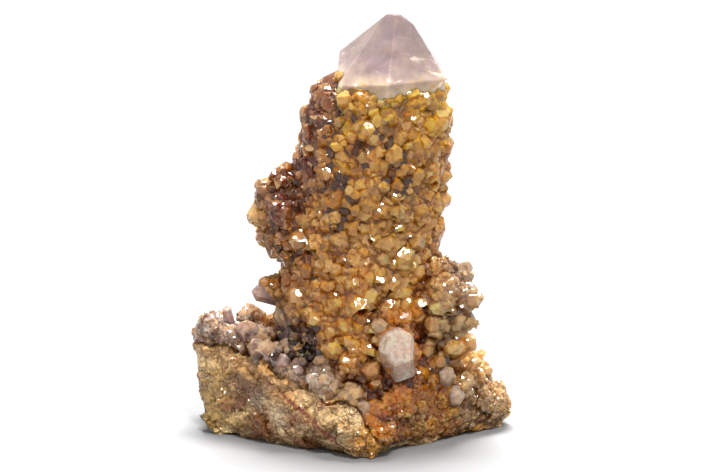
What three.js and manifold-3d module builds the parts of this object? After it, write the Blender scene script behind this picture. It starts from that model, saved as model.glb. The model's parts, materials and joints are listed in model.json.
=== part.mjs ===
// A spirit quartz cluster: one pale amethyst point, coated below its termination with small
// second-generation quartz crystals, on the broken block of vein quartz that it grew from.
// Millimetres, +Z up. The origin is under the middle of the specimen, on the face it rests on,
// and -Y is the side with the large pale crystal at the foot of the coat.

import * as THREE from "three";
import { ConvexGeometry } from "three/addons/geometries/ConvexGeometry.js";
import { ImprovedNoise } from "three/addons/math/ImprovedNoise.js";
import { mergeVertices } from "three/addons/utils/BufferGeometryUtils.js";
import Module from "manifold-3d";

// Driving dimensions
const HEIGHT = 90; // resting face to apex
const POINT_RADIUS = 12.5; // main crystal, axis to corner
const COAT_TOP = 76; // where the coat of small crystals ends on the main crystal
const COAT_FOOT = 17; // below this the coat runs out over the block
const QUARTZ_SLOPE = 1.27; // a termination's height over the prism's apothem, from quartz's face angle

const wasm = await Module();
wasm.setup();

// Solids
function solidOf(geometry) {
  const bare = new THREE.BufferGeometry();
  bare.setAttribute("position", geometry.getAttribute("position"));
  bare.setIndex(geometry.index);
  const merged = mergeVertices(bare, 1e-4);
  return new wasm.Manifold(
    new wasm.Mesh({
      numProp: 3,
      vertProperties: merged.attributes.position.array,
      triVerts: new Uint32Array(merged.index.array),
    }),
  );
}

function geometryOf(solid) {
  const { vertProperties, triVerts } = solid.getMesh();
  const geometry = new THREE.BufferGeometry();
  geometry.setAttribute("position", new THREE.BufferAttribute(vertProperties, 3));
  geometry.setIndex(new THREE.BufferAttribute(triVerts, 1));
  return geometry;
}

// Random draws, the same in every run
THREE.MathUtils.seededRandom(7);
const random = () => THREE.MathUtils.seededRandom();
const between = (low, high) => low + (high - low) * random();

// Rough surfaces: each triangle is cut in four, and every point is pushed about by smooth noise,
// sampled at another place for each direction. Points on the resting face stay on it.
const noise = new ImprovedNoise();
const APART = { x: 5.3, y: 9.1, z: 3.7 };

function cutInFour(geometry) {
  const loose = geometry.index ? geometry.toNonIndexed() : geometry;
  const corners = loose.getAttribute("position");
  const corner = (i) => new THREE.Vector3().fromBufferAttribute(corners, i);
  const middle = (a, b) => a.clone().add(b).multiplyScalar(0.5);
  const points = [];
  for (let i = 0; i < corners.count; i += 3) {
    const [a, b, c] = [corner(i), corner(i + 1), corner(i + 2)];
    const [ab, bc, ca] = [middle(a, b), middle(b, c), middle(c, a)];
    points.push(a, ab, ca, ab, b, bc, ca, bc, c, ab, bc, ca);
  }
  return mergeVertices(new THREE.BufferGeometry().setFromPoints(points), 1e-4);
}

function roughen(geometry, height, lump) {
  const position = geometry.getAttribute("position");
  const p = new THREE.Vector3();
  for (let i = 0; i < position.count; i++) {
    p.fromBufferAttribute(position, i);
    const q = p.clone().divideScalar(lump);
    const rests = p.z < 0.01;
    p.x += height * noise.noise(q.x + APART.x, q.y, q.z);
    p.y += height * noise.noise(q.x, q.y + APART.y, q.z);
    p.z += rests ? 0 : height * noise.noise(q.x, q.y, q.z + APART.z);
    position.setXYZ(i, p.x, p.y, Math.max(p.z, 0));
  }
  return geometry;
}

// A quartz crystal: a six-sided prism under a six-sided termination, its root at the origin and its
// axis along +Z. lift raises every second shoulder, and lean moves the apex off the axis, as uneven
// faces do.
function crystalGeometry({ radius, length, lift = 0, lean = [0, 0] }) {
  const tip = radius * Math.cos(Math.PI / 6) * QUARTZ_SLOPE;
  const shoulder = length - tip;
  const profile = [
    new THREE.Vector2(0, 0),
    new THREE.Vector2(radius, 0),
    new THREE.Vector2(radius, shoulder),
    new THREE.Vector2(0, length),
  ];
  const geometry = new THREE.LatheGeometry(profile, 6).rotateX(Math.PI / 2);
  geometry.deleteAttribute("normal");
  geometry.deleteAttribute("uv");
  const position = geometry.getAttribute("position");
  for (let i = 0; i < position.count; i++) {
    const row = i % profile.length;
    const side = Math.floor(i / profile.length) % 6;
    if (row === 2 && side % 2) position.setZ(i, position.getZ(i) + lift);
    if (row === 3) position.setXYZ(i, lean[0], lean[1], length);
  }
  return geometry;
}

function placement(root, direction, spin = 0) {
  const up = new THREE.Vector3(0, 0, 1);
  const aim = new THREE.Quaternion().setFromUnitVectors(up, direction.clone().normalize());
  aim.multiply(new THREE.Quaternion().setFromAxisAngle(up, spin));
  return new THREE.Matrix4().compose(root, aim, new THREE.Vector3(1, 1, 1));
}

function crystalAt(root, direction, spin, shape) {
  return solidOf(crystalGeometry(shape).applyMatrix4(placement(root, direction, spin)));
}

// The main crystal leans to +X. Each of its corners has a direction, in degrees from -Y towards +X,
// and the height of its shoulder along the axis. Its tip is chipped to a short slanting edge. Below
// the coat's top it is narrower, so that only the coat shows.
const POINT_ROOT = new THREE.Vector3(1.8, 1, 30);
const POINT_APEX = new THREE.Vector3(9.2, 0.4, HEIGHT);
const POINT_CORNERS = [
  [-4, 48],
  [62, 49.1],
  [121, 48.4],
  [183, 48.5],
  [243, 49.6],
  [300, 45],
];
const POINT_TIP = [[-2.6, 0.6, 59.8], [-0.6, -0.9, 60.3], [0.4, 0.7, 60], [3.1, 0, 58.5]];
const HIDDEN_SHARE = 0.8; // the prism's width inside the coat, over its width at the shoulders
const PRISM_FOOT = 38; // along the axis, where the full width begins

function mainPoint() {
  const ring = (share, heightOf) =>
    POINT_CORNERS.map(([degrees, shoulder]) => {
      const turn = THREE.MathUtils.degToRad(degrees);
      const out = share * POINT_RADIUS;
      return new THREE.Vector3(out * Math.sin(turn), -out * Math.cos(turn), heightOf(shoulder));
    });
  const hull = new ConvexGeometry([
    ...ring(HIDDEN_SHARE, () => 0),
    ...ring(1, () => PRISM_FOOT),
    ...ring(1, (shoulder) => shoulder),
    ...POINT_TIP.map((corner) => new THREE.Vector3(...corner)),
  ]);
  hull.deleteAttribute("normal");
  const axis = POINT_APEX.clone().sub(POINT_ROOT);
  return solidOf(hull.applyMatrix4(placement(POINT_ROOT, axis)));
}

// The body of the coat, under its crystals: [height, centre x, centre y, half width, half depth]
const COAT_BODY = [
  [0, 2, 2, 19, 16],
  [12, 2.5, 2, 19.5, 16],
  [22, 1.4, 1.5, 18, 14.5],
  [30, 0.8, 1, 16.6, 13.2],
  [40, 1.4, 1, 15.2, 13],
  [50, 2.4, 1, 15.4, 13.4],
  [60, 3.5, 1, 15.4, 13.4],
  [67, 4.4, 1, 14.8, 13.4],
  [72, 5.5, 1, 13.2, 12.8],
  [COAT_TOP, 6.6, 0.8, 11.4, 11.4],
];

function coatBodyAt(height) {
  const last = COAT_BODY.length - 1;
  const above = COAT_BODY.findIndex(([z]) => z >= height);
  if (above <= 0) return COAT_BODY[above < 0 ? last : 0];
  const [low, high] = [COAT_BODY[above - 1], COAT_BODY[above]];
  const share = (height - low[0]) / (high[0] - low[0]);
  return low.map((value, i) => value + (high[i] - value) * share);
}

function coatBody() {
  const rows = 9;
  const sides = 12;
  const geometry = new THREE.CylinderGeometry(1, 1, COAT_TOP, sides, rows).rotateX(Math.PI / 2);
  geometry.translate(0, 0, COAT_TOP / 2);
  const position = geometry.getAttribute("position");
  for (let i = 0; i < position.count; i++) {
    const height = position.getZ(i);
    const [, x, y, width, depth] = coatBodyAt(height);
    position.setXYZ(i, x + position.getX(i) * width, y + position.getY(i) * depth, height);
  }
  geometry.deleteAttribute("normal");
  geometry.deleteAttribute("uv");
  return solidOf(mergeVertices(geometry, 1e-4));
}

// Swellings of the coat where groups of larger crystals grow: centre, and half sizes
const SWELLINGS = {
  left: { centre: [-13.6, 2, 46], size: [6.2, 7.5, 10.5] },
  right: { centre: [16.4, -2, 29], size: [6.9, 7, 9.2] },
  shoulder: { centre: [-2, 1, 71], size: [6.6, 8.5, 7.4] },
  back: { centre: [4, 13, 34], size: [9, 6, 9] },
};

function swelling({ centre, size }) {
  const geometry = new THREE.SphereGeometry(1, 8, 6);
  geometry.deleteAttribute("normal");
  geometry.deleteAttribute("uv");
  geometry.scale(...size).translate(...centre);
  return solidOf(mergeVertices(geometry, 1e-4));
}

// The broken block of vein quartz, as the corners of its lumps. The left lump's long face is the
// fracture that cuts across the crystals' stems.
const BLOCK_LUMPS = {
  left: [
    [-31.5, -1.5, 0], [-24, -5.5, 0], [-12, -15, 0], [-3, -20, 0], [5, -22, 0], [8, -17, 0],
    [0, 2, 0], [-20, 15, 0], [-31, 8, 0], [-33, 1, 8], [-33.5, 2, 22.5], [-20, -7.5, 21],
    [-9, -14, 16.5], [2.5, -20, 10], [6, -18, 8], [-4, 0, 16], [-14, 10, 21], [-28, 13, 20],
  ],
  right: [
    [3, -20, 0], [9, -14, 0], [19, -6.5, 0], [33, 3, 0], [33.5, 8, 0], [26, 17, 0], [0, 6, 0],
    [6, -16, 12], [17, -8.5, 13], [24, 0, 13], [30.5, 3, 7], [34, 4.5, 3], [24, 14, 12],
  ],
  back: [
    [-26, 12, 0], [-8, 20, 0], [14, 21, 0], [28, 14, 0], [0, 0, 0], [-22, 12, 18], [-6, 18, 17],
    [14, 19, 18], [25, 12, 13], [0, 4, 20],
  ],
};

const RELIEF = { height: 2.6, lump: 4.5 };

function blockLump(corners) {
  const hull = new ConvexGeometry(corners.map((corner) => new THREE.Vector3(...corner)));
  hull.deleteAttribute("normal");
  const isFractured = corners === BLOCK_LUMPS.left;
  const pieces = cutInFour(hull);
  const surface = isFractured ? cutInFour(pieces) : pieces;
  return solidOf(roughen(surface, RELIEF.height, RELIEF.lump));
}

const core = wasm.Manifold.union([
  coatBody(),
  ...Object.values(SWELLINGS).map(swelling),
  ...Object.values(BLOCK_LUMPS).map(blockLump),
]);

// Rays find where on the core a crystal stands, and which way the core faces there
const coreMesh = new THREE.Mesh(geometryOf(core), new THREE.MeshStandardMaterial());
const raycaster = new THREE.Raycaster();
const FAR = 120;

function onCore(from, towards) {
  raycaster.set(from, towards.clone().normalize());
  const [hit] = raycaster.intersectObject(coreMesh);
  return hit ? { point: hit.point, normal: hit.face.normal } : null;
}

const FRONT = (x, z) => onCore(new THREE.Vector3(x, -FAR, z), new THREE.Vector3(0, 1, 0));
const RIGHT = (y, z) => onCore(new THREE.Vector3(FAR, y, z), new THREE.Vector3(-1, 0, 0));
const LEFT = (y, z) => onCore(new THREE.Vector3(-FAR, y, z), new THREE.Vector3(1, 0, 0));
const ABOVE = (x, y) => onCore(new THREE.Vector3(x, y, FAR), new THREE.Vector3(0, 0, -1));

function fromAround(turn, height) {
  const [, x, y] = coatBodyAt(height);
  const out = new THREE.Vector3(Math.sin(turn), -Math.cos(turn), 0);
  const axisPoint = new THREE.Vector3(x, y, height);
  return onCore(axisPoint.clone().addScaledVector(out, FAR), out.negate());
}

const placed = [];
const MOST_LEAN = 0.22; // of an apex off its axis, over the crystal's radius

// Stands one crystal on the core. stands is how far its shoulders rise over the surface, and is
// below zero where only its termination shows.
function plant(seat, direction, { radius, stands, sink = 1.6 * radius, lift = 0 }) {
  const tip = radius * Math.cos(Math.PI / 6) * QUARTZ_SLOPE;
  const aim = direction.clone().normalize();
  const root = seat.point.clone().addScaledVector(aim, -sink);
  const shape = {
    radius,
    length: sink + stands + tip,
    lift,
    lean: [0, 1].map(() => between(-MOST_LEAN, MOST_LEAN) * radius),
  };
  placed.push({ point: seat.point, radius });
  return crystalAt(root, aim, between(0, Math.PI / 3), shape);
}

// Large crystals, each placed by hand: where it stands, where it points, its radius and its rise
const LARGE_CRYSTALS = [
  // the pale crystal at the foot of the coat
  { from: FRONT, at: [9.2, 19.6], aim: [0, -0.8, 0.6], radius: 4.3, stands: 2.6 },
  { from: FRONT, at: [5.2, 25], aim: [-0.1, -0.7, 0.7], radius: 2.4, stands: 1.2 },
  // the right-hand group
  { from: FRONT, at: [18.6, 33.5], aim: [0.35, -0.5, 0.75], radius: 3.4, stands: 1 },
  { from: FRONT, at: [17.4, 36.4], aim: [0.25, -0.4, 0.85], radius: 2.8, stands: 0.8 },
  { from: FRONT, at: [22, 30.5], aim: [0.85, -0.25, 0.4], radius: 3, stands: 1.8 },
  { from: FRONT, at: [21.4, 25.5], aim: [0.9, -0.45, 0.05], radius: 3.2, stands: 1.4 },
  { from: FRONT, at: [18.5, 30], aim: [0.2, -0.95, 0.3], radius: 2.2, stands: 1.2 },
  { from: FRONT, at: [18, 21.5], aim: [0.5, -0.85, 0.1], radius: 2.4, stands: 1 },
  { from: RIGHT, at: [1, 33], aim: [0.8, 0.3, 0.5], radius: 2.9, stands: 1.2 },
  { from: RIGHT, at: [4, 26], aim: [0.9, 0.4, 0.1], radius: 2.6, stands: 1 },
  // the left-hand group
  { from: LEFT, at: [0, 51.5], aim: [-0.5, -0.3, 0.8], radius: 2.8, stands: 1.4 },
  { from: LEFT, at: [0, 55], aim: [-0.2, -0.3, 0.9], radius: 2.8, stands: 1 },
  { from: LEFT, at: [0, 46.5], aim: [-0.95, -0.2, 0.25], radius: 2.6, stands: 0.3 },
  { from: LEFT, at: [3, 41.5], aim: [-0.85, 0.2, -0.1], radius: 2.4, stands: 0.8 },
  { from: FRONT, at: [-15.5, 49], aim: [-0.4, -0.75, 0.5], radius: 2.5, stands: 1.2 },
  // the rim of the block, from the left corner round to the front
  { from: ABOVE, at: [-30.5, 1.5], aim: [-0.2, -0.25, 0.9], radius: 3, stands: 0.6 },
  { from: ABOVE, at: [-26, -1.5], aim: [-0.15, -0.35, 0.95], radius: 2.6, stands: 1.2 },
  { from: ABOVE, at: [-29, 7], aim: [-0.45, 0.2, 0.9], radius: 2.7, stands: 0.8 },
  { from: ABOVE, at: [-19.5, -4.5], aim: [-0.1, -0.45, 0.85], radius: 2.9, stands: 1.2 },
  { from: ABOVE, at: [-13, -8.5], aim: [0.05, -0.5, 0.85], radius: 2.5, stands: 1.6 },
  { from: ABOVE, at: [-7.5, -12], aim: [0.1, -0.5, 0.85], radius: 2.6, stands: 1.8 },
  { from: ABOVE, at: [-1, -16], aim: [0.2, -0.55, 0.8], radius: 2.2, stands: 1.6 },
  { from: ABOVE, at: [-21, 5], aim: [-0.4, -0.1, 0.85], radius: 2.9, stands: 3 },
  { from: LEFT, at: [1, 30], aim: [-0.8, -0.1, 0.5], radius: 2.8, stands: 2.4 },
  // the right end of the block
  { from: FRONT, at: [20, 14.5], aim: [0.1, -0.75, 0.65], radius: 2.3, stands: 1.2 },
  { from: FRONT, at: [22, 10.5], aim: [0.2, -0.8, 0.5], radius: 2.6, stands: 1 },
  { from: ABOVE, at: [26, 5], aim: [0.6, 0, 0.8], radius: 2.2, stands: 1 },
];

const LARGE_SINK = 3; // depth of a large crystal's root under the surface
const LARGE_LIFT = 0.15; // of every second shoulder, over the crystal's radius

function largeCrystals() {
  return LARGE_CRYSTALS.map(({ from, at, aim, radius, stands }) => {
    const seat = from(...at);
    if (!seat) throw new Error(`no surface at ${at} for a large crystal`);
    const shape = { radius, stands, sink: LARGE_SINK, lift: LARGE_LIFT * radius };
    return plant(seat, new THREE.Vector3(...aim), shape);
  });
}

// Small crystals: what grows at a place on the core, or nothing on broken quartz
const COAT = { radius: [2.5, 3.3], stands: [-1.5, -0.9], upward: 0.35, spread: 0.35 };
const SHELF = { radius: [2.5, 3.2], stands: [-0.9, 0], upward: 0.4, spread: 0.3 };
const FRONT_DRUSE = { radius: [2.2, 2.8], stands: [-1.1, -0.6], upward: 0.3, spread: 0.35 };

const LOWEST_CRYSTAL = 4;
const FRONT_SLOPE = { left: 5, right: 22, back: -4 };

function growthAt({ point, normal }) {
  const facesDown = normal.z < -0.55;
  if (facesDown || point.z < LOWEST_CRYSTAL) return null;
  if (point.z > COAT_FOOT) return COAT;
  const isBetween = point.x > FRONT_SLOPE.left && point.x < FRONT_SLOPE.right;
  const facesFront = point.y < FRONT_SLOPE.back && normal.y < -0.3;
  if (isBetween && facesFront) return FRONT_DRUSE;
  const facesUp = normal.z > 0.45;
  return facesUp ? SHELF : null;
}

const CLEARANCE = 0.73; // least distance between two crystals, over the sum of their radii

function isFree(point, radius) {
  return placed.every((other) => {
    const room = CLEARANCE * (radius + other.radius);
    return point.distanceToSquared(other.point) > room * room;
  });
}

function tryToPlant(seat, size) {
  const growth = seat && growthAt(seat);
  if (!growth) return [];
  const radius = THREE.MathUtils.lerp(growth.radius[1], growth.radius[0], size);
  if (!isFree(seat.point, radius)) return [];
  const stray = new THREE.Vector3(between(-1, 1), between(-1, 1), between(-1, 1));
  const direction = seat.normal.clone().addScaledVector(stray, growth.spread);
  direction.z += growth.upward;
  return [plant(seat, direction, { radius, stands: between(...growth.stands) })];
}

const TRIES = 5200;
const AROUND = { low: 3, high: COAT_TOP - 1.5 };
const BLOCK_REACH = { x: [-34, 34], y: [-22, 21], top: 25 };

function smallCrystals() {
  const crystals = [];
  for (let i = 0; i < TRIES; i++) {
    const size = i / TRIES; // the largest grow first
    const around = fromAround(between(0, 2 * Math.PI), between(AROUND.low, AROUND.high));
    crystals.push(...tryToPlant(around, size));
    if (i % 3 === 0) {
      const above = ABOVE(between(...BLOCK_REACH.x), between(...BLOCK_REACH.y));
      const onBlock = above && above.point.z < BLOCK_REACH.top;
      if (onBlock) crystals.push(...tryToPlant(above, size));
    }
  }
  return crystals;
}

const grown = wasm.Manifold.union([core, mainPoint(), ...largeCrystals(), ...smallCrystals()]);

// The block rests on a flat break, so whatever reaches below it is cut off
const below = new THREE.BoxGeometry(4 * HEIGHT, 4 * HEIGHT, HEIGHT).translate(0, 0, -HEIGHT / 2);
below.deleteAttribute("normal");
below.deleteAttribute("uv");
const broken = grown.subtract(solidOf(below));

// Crystals that lean together can seal a small pocket between them. The outer body is the specimen.
const [cluster] = broken.decompose().sort((a, b) => b.volume() - a.volume());

const druseQuartz = new THREE.MeshStandardMaterial({
  color: 0xb98246,
  roughness: 0.25,
  metalness: 0,
  flatShading: true,
});

const clusterMesh = new THREE.Mesh(geometryOf(cluster), druseQuartz);
clusterMesh.name = "spirit_quartz_cluster";

// The frame's origin is under the middle of the specimen
const extent = new THREE.Box3().setFromObject(clusterMesh);
const middle = extent.getCenter(new THREE.Vector3());
clusterMesh.position.set(-middle.x, -middle.y, 0);

const specimen = new THREE.Group();
specimen.add(clusterMesh);

export default specimen;
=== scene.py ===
import json
import math
import random

import bmesh
import bpy
import numpy as np
from mathutils import Matrix, Vector, noise
from mathutils.bvhtree import BVHTree

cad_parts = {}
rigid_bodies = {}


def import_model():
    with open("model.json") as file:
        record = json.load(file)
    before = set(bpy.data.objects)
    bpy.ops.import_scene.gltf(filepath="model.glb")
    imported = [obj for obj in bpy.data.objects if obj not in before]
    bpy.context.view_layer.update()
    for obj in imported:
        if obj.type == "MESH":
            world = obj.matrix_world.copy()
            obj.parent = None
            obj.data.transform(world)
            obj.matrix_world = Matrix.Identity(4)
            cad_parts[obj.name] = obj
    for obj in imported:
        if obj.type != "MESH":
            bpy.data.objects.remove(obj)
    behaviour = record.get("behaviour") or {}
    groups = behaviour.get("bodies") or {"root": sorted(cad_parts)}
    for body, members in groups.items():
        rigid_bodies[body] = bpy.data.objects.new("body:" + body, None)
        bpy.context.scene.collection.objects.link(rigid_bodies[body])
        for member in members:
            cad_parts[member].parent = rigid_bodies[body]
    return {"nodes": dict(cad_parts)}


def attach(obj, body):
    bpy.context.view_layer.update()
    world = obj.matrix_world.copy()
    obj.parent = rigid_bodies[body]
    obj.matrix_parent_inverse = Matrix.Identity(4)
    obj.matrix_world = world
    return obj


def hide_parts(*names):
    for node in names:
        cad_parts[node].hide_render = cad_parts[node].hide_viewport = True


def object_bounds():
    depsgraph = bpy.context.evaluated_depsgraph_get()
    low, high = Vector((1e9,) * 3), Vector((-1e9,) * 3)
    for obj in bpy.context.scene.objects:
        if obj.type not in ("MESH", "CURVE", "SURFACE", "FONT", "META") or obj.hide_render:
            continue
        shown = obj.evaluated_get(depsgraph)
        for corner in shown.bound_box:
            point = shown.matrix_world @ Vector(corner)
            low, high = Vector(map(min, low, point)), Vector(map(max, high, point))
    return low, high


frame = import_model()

cad_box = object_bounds()

# The view: a long lens in front of the specimen and 15 degrees above it, far enough away that it
# shows little perspective.
MM = 0.001
FRAME_WIDTH = 147.5 * MM  # what the picture spans at the specimen
AIM = Vector((0.1, 0.0, 42.6)) * MM
DISTANCE = 1.2
ELEVATION = math.radians(15)
SENSOR = 36.0  # its width in millimetres
NEAREST = 0.01  # the camera sees nothing closer

towards_eye = Vector((0, -math.cos(ELEVATION), math.sin(ELEVATION)))
EYE = AIM + DISTANCE * towards_eye
bpy.ops.object.camera_add(location=EYE)
camera = bpy.context.active_object
camera.rotation_euler = towards_eye.to_track_quat("Z", "Y").to_euler()
camera.data.sensor_width = SENSOR
camera.data.lens = SENSOR * DISTANCE / FRAME_WIDTH
camera.data.clip_start = NEAREST
bpy.context.scene.camera = camera


# The table and light: grey paper that the strong lights show as white, a small bright softbox above
# the front that crystal faces mirror as white glints, a wide light above and behind that shines
# through the crystals and draws the soft shadow at the foot, and a pale surround.
TABLE_SIZE = 8
TABLE_GREY = 0.178  # the share of light that the paper sends back


def lay_table():
    bpy.ops.mesh.primitive_plane_add(size=TABLE_SIZE, location=(0, 0, 0))
    table = bpy.context.active_object
    table.name = "table"
    paper = bpy.data.materials.new("studio_paper")
    paper.use_nodes = True
    shader = paper.node_tree.nodes["Principled BSDF"]
    shader.inputs["Base Color"].default_value = (TABLE_GREY, TABLE_GREY, TABLE_GREY, 1)
    shader.inputs["Roughness"].default_value = 0.6
    shader.inputs["Specular IOR Level"].default_value = 0.3
    table.data.materials.append(paper)


def hang_light(name, azimuth, elevation, distance, size, power):
    turn = math.radians(azimuth)
    rise = math.radians(elevation)
    towards = Vector(
        (math.sin(turn) * math.cos(rise), -math.cos(turn) * math.cos(rise), math.sin(rise))
    )
    bpy.ops.object.light_add(type="AREA", location=AIM + distance * towards)
    light = bpy.context.active_object
    light.name = name
    light.rotation_euler = towards.to_track_quat("Z", "Y").to_euler()
    light.data.shape = "RECTANGLE"
    light.data.size = size[0]
    light.data.size_y = size[1]
    light.data.energy = power
    return light.location.copy()


def light_surround(strength):
    world = bpy.data.worlds.new("pale_surround")
    world.use_nodes = True
    world.node_tree.nodes["Background"].inputs["Color"].default_value = (1, 1, 1, 1)
    world.node_tree.nodes["Background"].inputs["Strength"].default_value = strength
    bpy.context.scene.world = world


lay_table()
SOFTBOX = hang_light(
    "softbox", azimuth=16, elevation=58, distance=2.2, size=(0.34, 0.32), power=58
)
hang_light("top", azimuth=175, elevation=74, distance=2.4, size=(1.2, 0.9), power=260)
light_surround(strength=0.98)
bpy.context.scene.view_settings.view_transform = "Standard"


# The main crystal: a clear, pale lilac quartz point that leans to the right. Six unequal faces
# meet at a chipped tip. The rest of the crystal runs down through the coat, stained by iron.
POINT_ROOT = Vector((2.1, 1.62, 30)) * MM
POINT_APEX = Vector((9.5, 1.02, 90)) * MM
POINT_RADIUS = 12.5 * MM
ROOT_SHARE = 0.8  # its width at the root, over its full width
PRISM_FOOT = 38 * MM
# Each corner's direction in degrees, and the height of its shoulder along the axis
SHOULDERS = [(-4, 48), (62, 49.1), (121, 48.4), (183, 48.5), (243, 49.6), (300, 45)]
TIP = [(-2.6, 0.6, 59.8), (-0.6, -0.9, 60.3), (0.4, 0.7, 60), (3.1, 0, 58.5)]
GAP = 0.04 * MM  # between the crystal and the coat on it
SAME_FACE = 0.02  # faces that turn less than this, in radians, are one
QUARTZ_IOR = 1.544
STREAK = 0.28  # a streaked pattern is drawn out along one way by squeezing it to this share


def srgb(red, green, blue):
    def linear(value):
        share = value / 255
        return share / 12.92 if share <= 0.04045 else ((share + 0.055) / 1.055) ** 2.4

    return (linear(red), linear(green), linear(blue))


def only(thing):
    bpy.ops.object.select_all(action="DESELECT")
    thing.select_set(True)
    bpy.context.view_layer.objects.active = thing


def apply(thing, modifier):
    only(thing)
    bpy.ops.object.modifier_apply(modifier=modifier.name)


def edit(thing, step):
    only(thing)
    bpy.ops.object.mode_set(mode="EDIT")
    bpy.ops.mesh.select_all(action="SELECT")
    step()
    bpy.ops.object.mode_set(mode="OBJECT")


# The crystal is the hull of three rings of corners and its tip, grown outwards by a little
def point_shape(name, grown):
    rings = [(ROOT_SHARE, [0] * 6), (1, [PRISM_FOOT] * 6), (1, [up * MM for _, up in SHOULDERS])]
    corners = []
    for share, levels in rings:
        out = share * POINT_RADIUS + grown
        for (degrees, _), level in zip(SHOULDERS, levels):
            turn = math.radians(degrees)
            corners.append(Vector((out * math.sin(turn), -out * math.cos(turn), level)))
    for corner in TIP:
        place = Vector(corner) * MM
        corners.append(place + grown * Vector((place.x, place.y, 2 * MM)).normalized())
    axis = (POINT_APEX - POINT_ROOT).normalized()
    turn = Vector((0, 0, 1)).rotation_difference(axis).to_matrix().to_4x4()
    place = Matrix.Translation(POINT_ROOT) @ turn
    mesh = bpy.data.meshes.new(name)
    mesh.from_pydata([place @ corner for corner in corners], [], [])
    crystal = bpy.data.objects.new(name, mesh)
    bpy.context.scene.collection.objects.link(crystal)
    edit(crystal, lambda: bpy.ops.mesh.convex_hull(join_triangles=True, face_threshold=SAME_FACE))
    return crystal


def bevel_edges(thing, width):
    bevel = thing.modifiers.new("worn_edges", "BEVEL")
    bevel.width = width
    bevel.segments = 2
    bevel.limit_method = "ANGLE"
    bevel.angle_limit = math.radians(15)
    apply(thing, bevel)


def new_material(name):
    material = bpy.data.materials.new(name)
    material.use_nodes = True
    tree = material.node_tree
    return material, tree, tree.nodes["Principled BSDF"]


def object_place(tree):
    return tree.nodes.new("ShaderNodeTexCoord").outputs["Object"]


# Links a node's output to a socket, or sets the socket to a plain value
def plug(tree, value, socket):
    if isinstance(value, bpy.types.NodeSocket):
        tree.links.new(value, socket)
    else:
        socket.default_value = value


def mapped(tree, value, low, high, new_low, new_high):
    node = tree.nodes.new("ShaderNodeMapRange")
    tree.links.new(value, node.inputs["Value"])
    node.inputs["From Min"].default_value = low
    node.inputs["From Max"].default_value = high
    node.inputs["To Min"].default_value = new_low
    node.inputs["To Max"].default_value = new_high
    return node.outputs["Result"]


# Sockets 0, 6 and 7 of a mix node are its share and its two colours, and output 2 is the mix
def mixed(tree, share, first, second, blend="MIX"):
    node = tree.nodes.new("ShaderNodeMix")
    node.data_type = "RGBA"
    node.blend_type = blend
    for number, value in ((0, share), (6, first), (7, second)):
        plug(tree, (*value, 1) if isinstance(value, tuple) else value, node.inputs[number])
    return node.outputs[2]


def clouds(tree, scale, detail=3.0, roughness=0.55, distortion=0.0, stretch=None):
    node = tree.nodes.new("ShaderNodeTexNoise")
    place = object_place(tree)
    if stretch:
        turned = tree.nodes.new("ShaderNodeMapping")
        turn = stretch.to_track_quat("X", "Z").inverted()
        turned.inputs["Rotation"].default_value = turn.to_euler()
        turned.inputs["Scale"].default_value = (STREAK, 1, 1)
        tree.links.new(place, turned.inputs["Vector"])
        place = turned.outputs["Vector"]
    tree.links.new(place, node.inputs["Vector"])
    node.inputs["Scale"].default_value = scale
    node.inputs["Detail"].default_value = detail
    node.inputs["Roughness"].default_value = roughness
    node.inputs["Distortion"].default_value = distortion
    return node.outputs["Fac"]


def worked(tree, operation, first, second):
    node = tree.nodes.new("ShaderNodeMath")
    node.operation = operation
    for value, socket in zip((first, second), node.inputs):
        plug(tree, value, socket)
    return node.outputs["Value"]


def height(tree):
    split = tree.nodes.new("ShaderNodeSeparateXYZ")
    tree.links.new(object_place(tree), split.inputs["Vector"])
    return split.outputs["Z"]


def bumped(tree, shader, value, strength, distance):
    bump = tree.nodes.new("ShaderNodeBump")
    bump.inputs["Strength"].default_value = strength
    bump.inputs["Distance"].default_value = distance
    tree.links.new(value, bump.inputs["Height"])
    tree.links.new(bump.outputs["Normal"], shader.inputs["Normal"])


def absorb(tree, colour, density):
    volume = tree.nodes.new("ShaderNodeVolumeAbsorption")
    volume.inputs["Color"].default_value = (*colour, 1)
    volume.inputs["Density"].default_value = density
    tree.links.new(volume.outputs["Volume"], tree.nodes["Material Output"].inputs["Volume"])


WISPS_ALONG = Vector((1, 0, 0.25))  # the way the point's wisps run


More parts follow.
